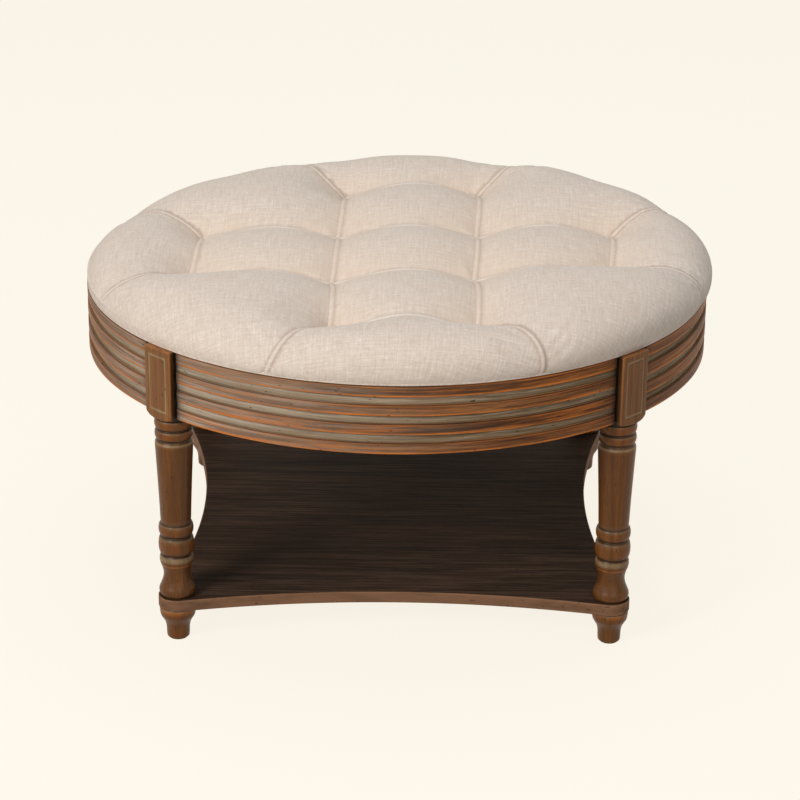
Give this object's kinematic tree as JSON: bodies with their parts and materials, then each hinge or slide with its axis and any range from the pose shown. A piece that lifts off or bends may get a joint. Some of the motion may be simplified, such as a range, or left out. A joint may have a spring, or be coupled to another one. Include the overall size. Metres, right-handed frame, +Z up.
{
  "type": "round tufted ottoman coffee table",
  "caption": "Round coffee table with a tufted linen cushion on a banded wooden drum, turned legs and a hollow-sided lower shelf.",
  "frame": {"origin": "on the floor, under the middle of the table", "axes": "+Z up; the front that the picture shows faces -Y; the legs stand at 45 degrees to X and Y"},
  "size_m": [0.869, 0.869, 0.485],
  "materials": {
    "grey_washed_wood": "matte grey wash over brown, worn",
    "distressed_brown_wood": "satin brown stain, edges rubbed through",
    "espresso_wood": "satin dark stain with grain streaks",
    "felt": "matte felt",
    "bare_hardwood": "unfinished",
    "plywood": "unfinished",
    "zinc_steel": "zinc plated",
    "linen": "plain woven slub linen",
    "tape": "woven cotton tape",
    "black_cloth": "thin unwoven cloth"
  },
  "bodies": {
    "root": {"apron_panel_front": "grey_washed_wood", "apron_panel_right": "grey_washed_wood", "apron_panel_back": "grey_washed_wood", "apron_panel_left": "grey_washed_wood", "strip_row_1": "distressed_brown_wood", "strip_row_2": "distressed_brown_wood", "strip_row_3": "distressed_brown_wood", "strip_row_4": "distressed_brown_wood", "legs": "distressed_brown_wood", "feet": "distressed_brown_wood", "shelf": "espresso_wood", "foot_pads": "felt", "foot_tenons": "bare_hardwood", "apron_tenons": "bare_hardwood", "corner_blocks": "bare_hardwood", "board_screws": "zinc_steel", "seat_board": "plywood", "tufted_cushion": "linen", "tuft_tapes": "tape", "dust_cover": "black_cloth"}
  },
  "joints": []
}
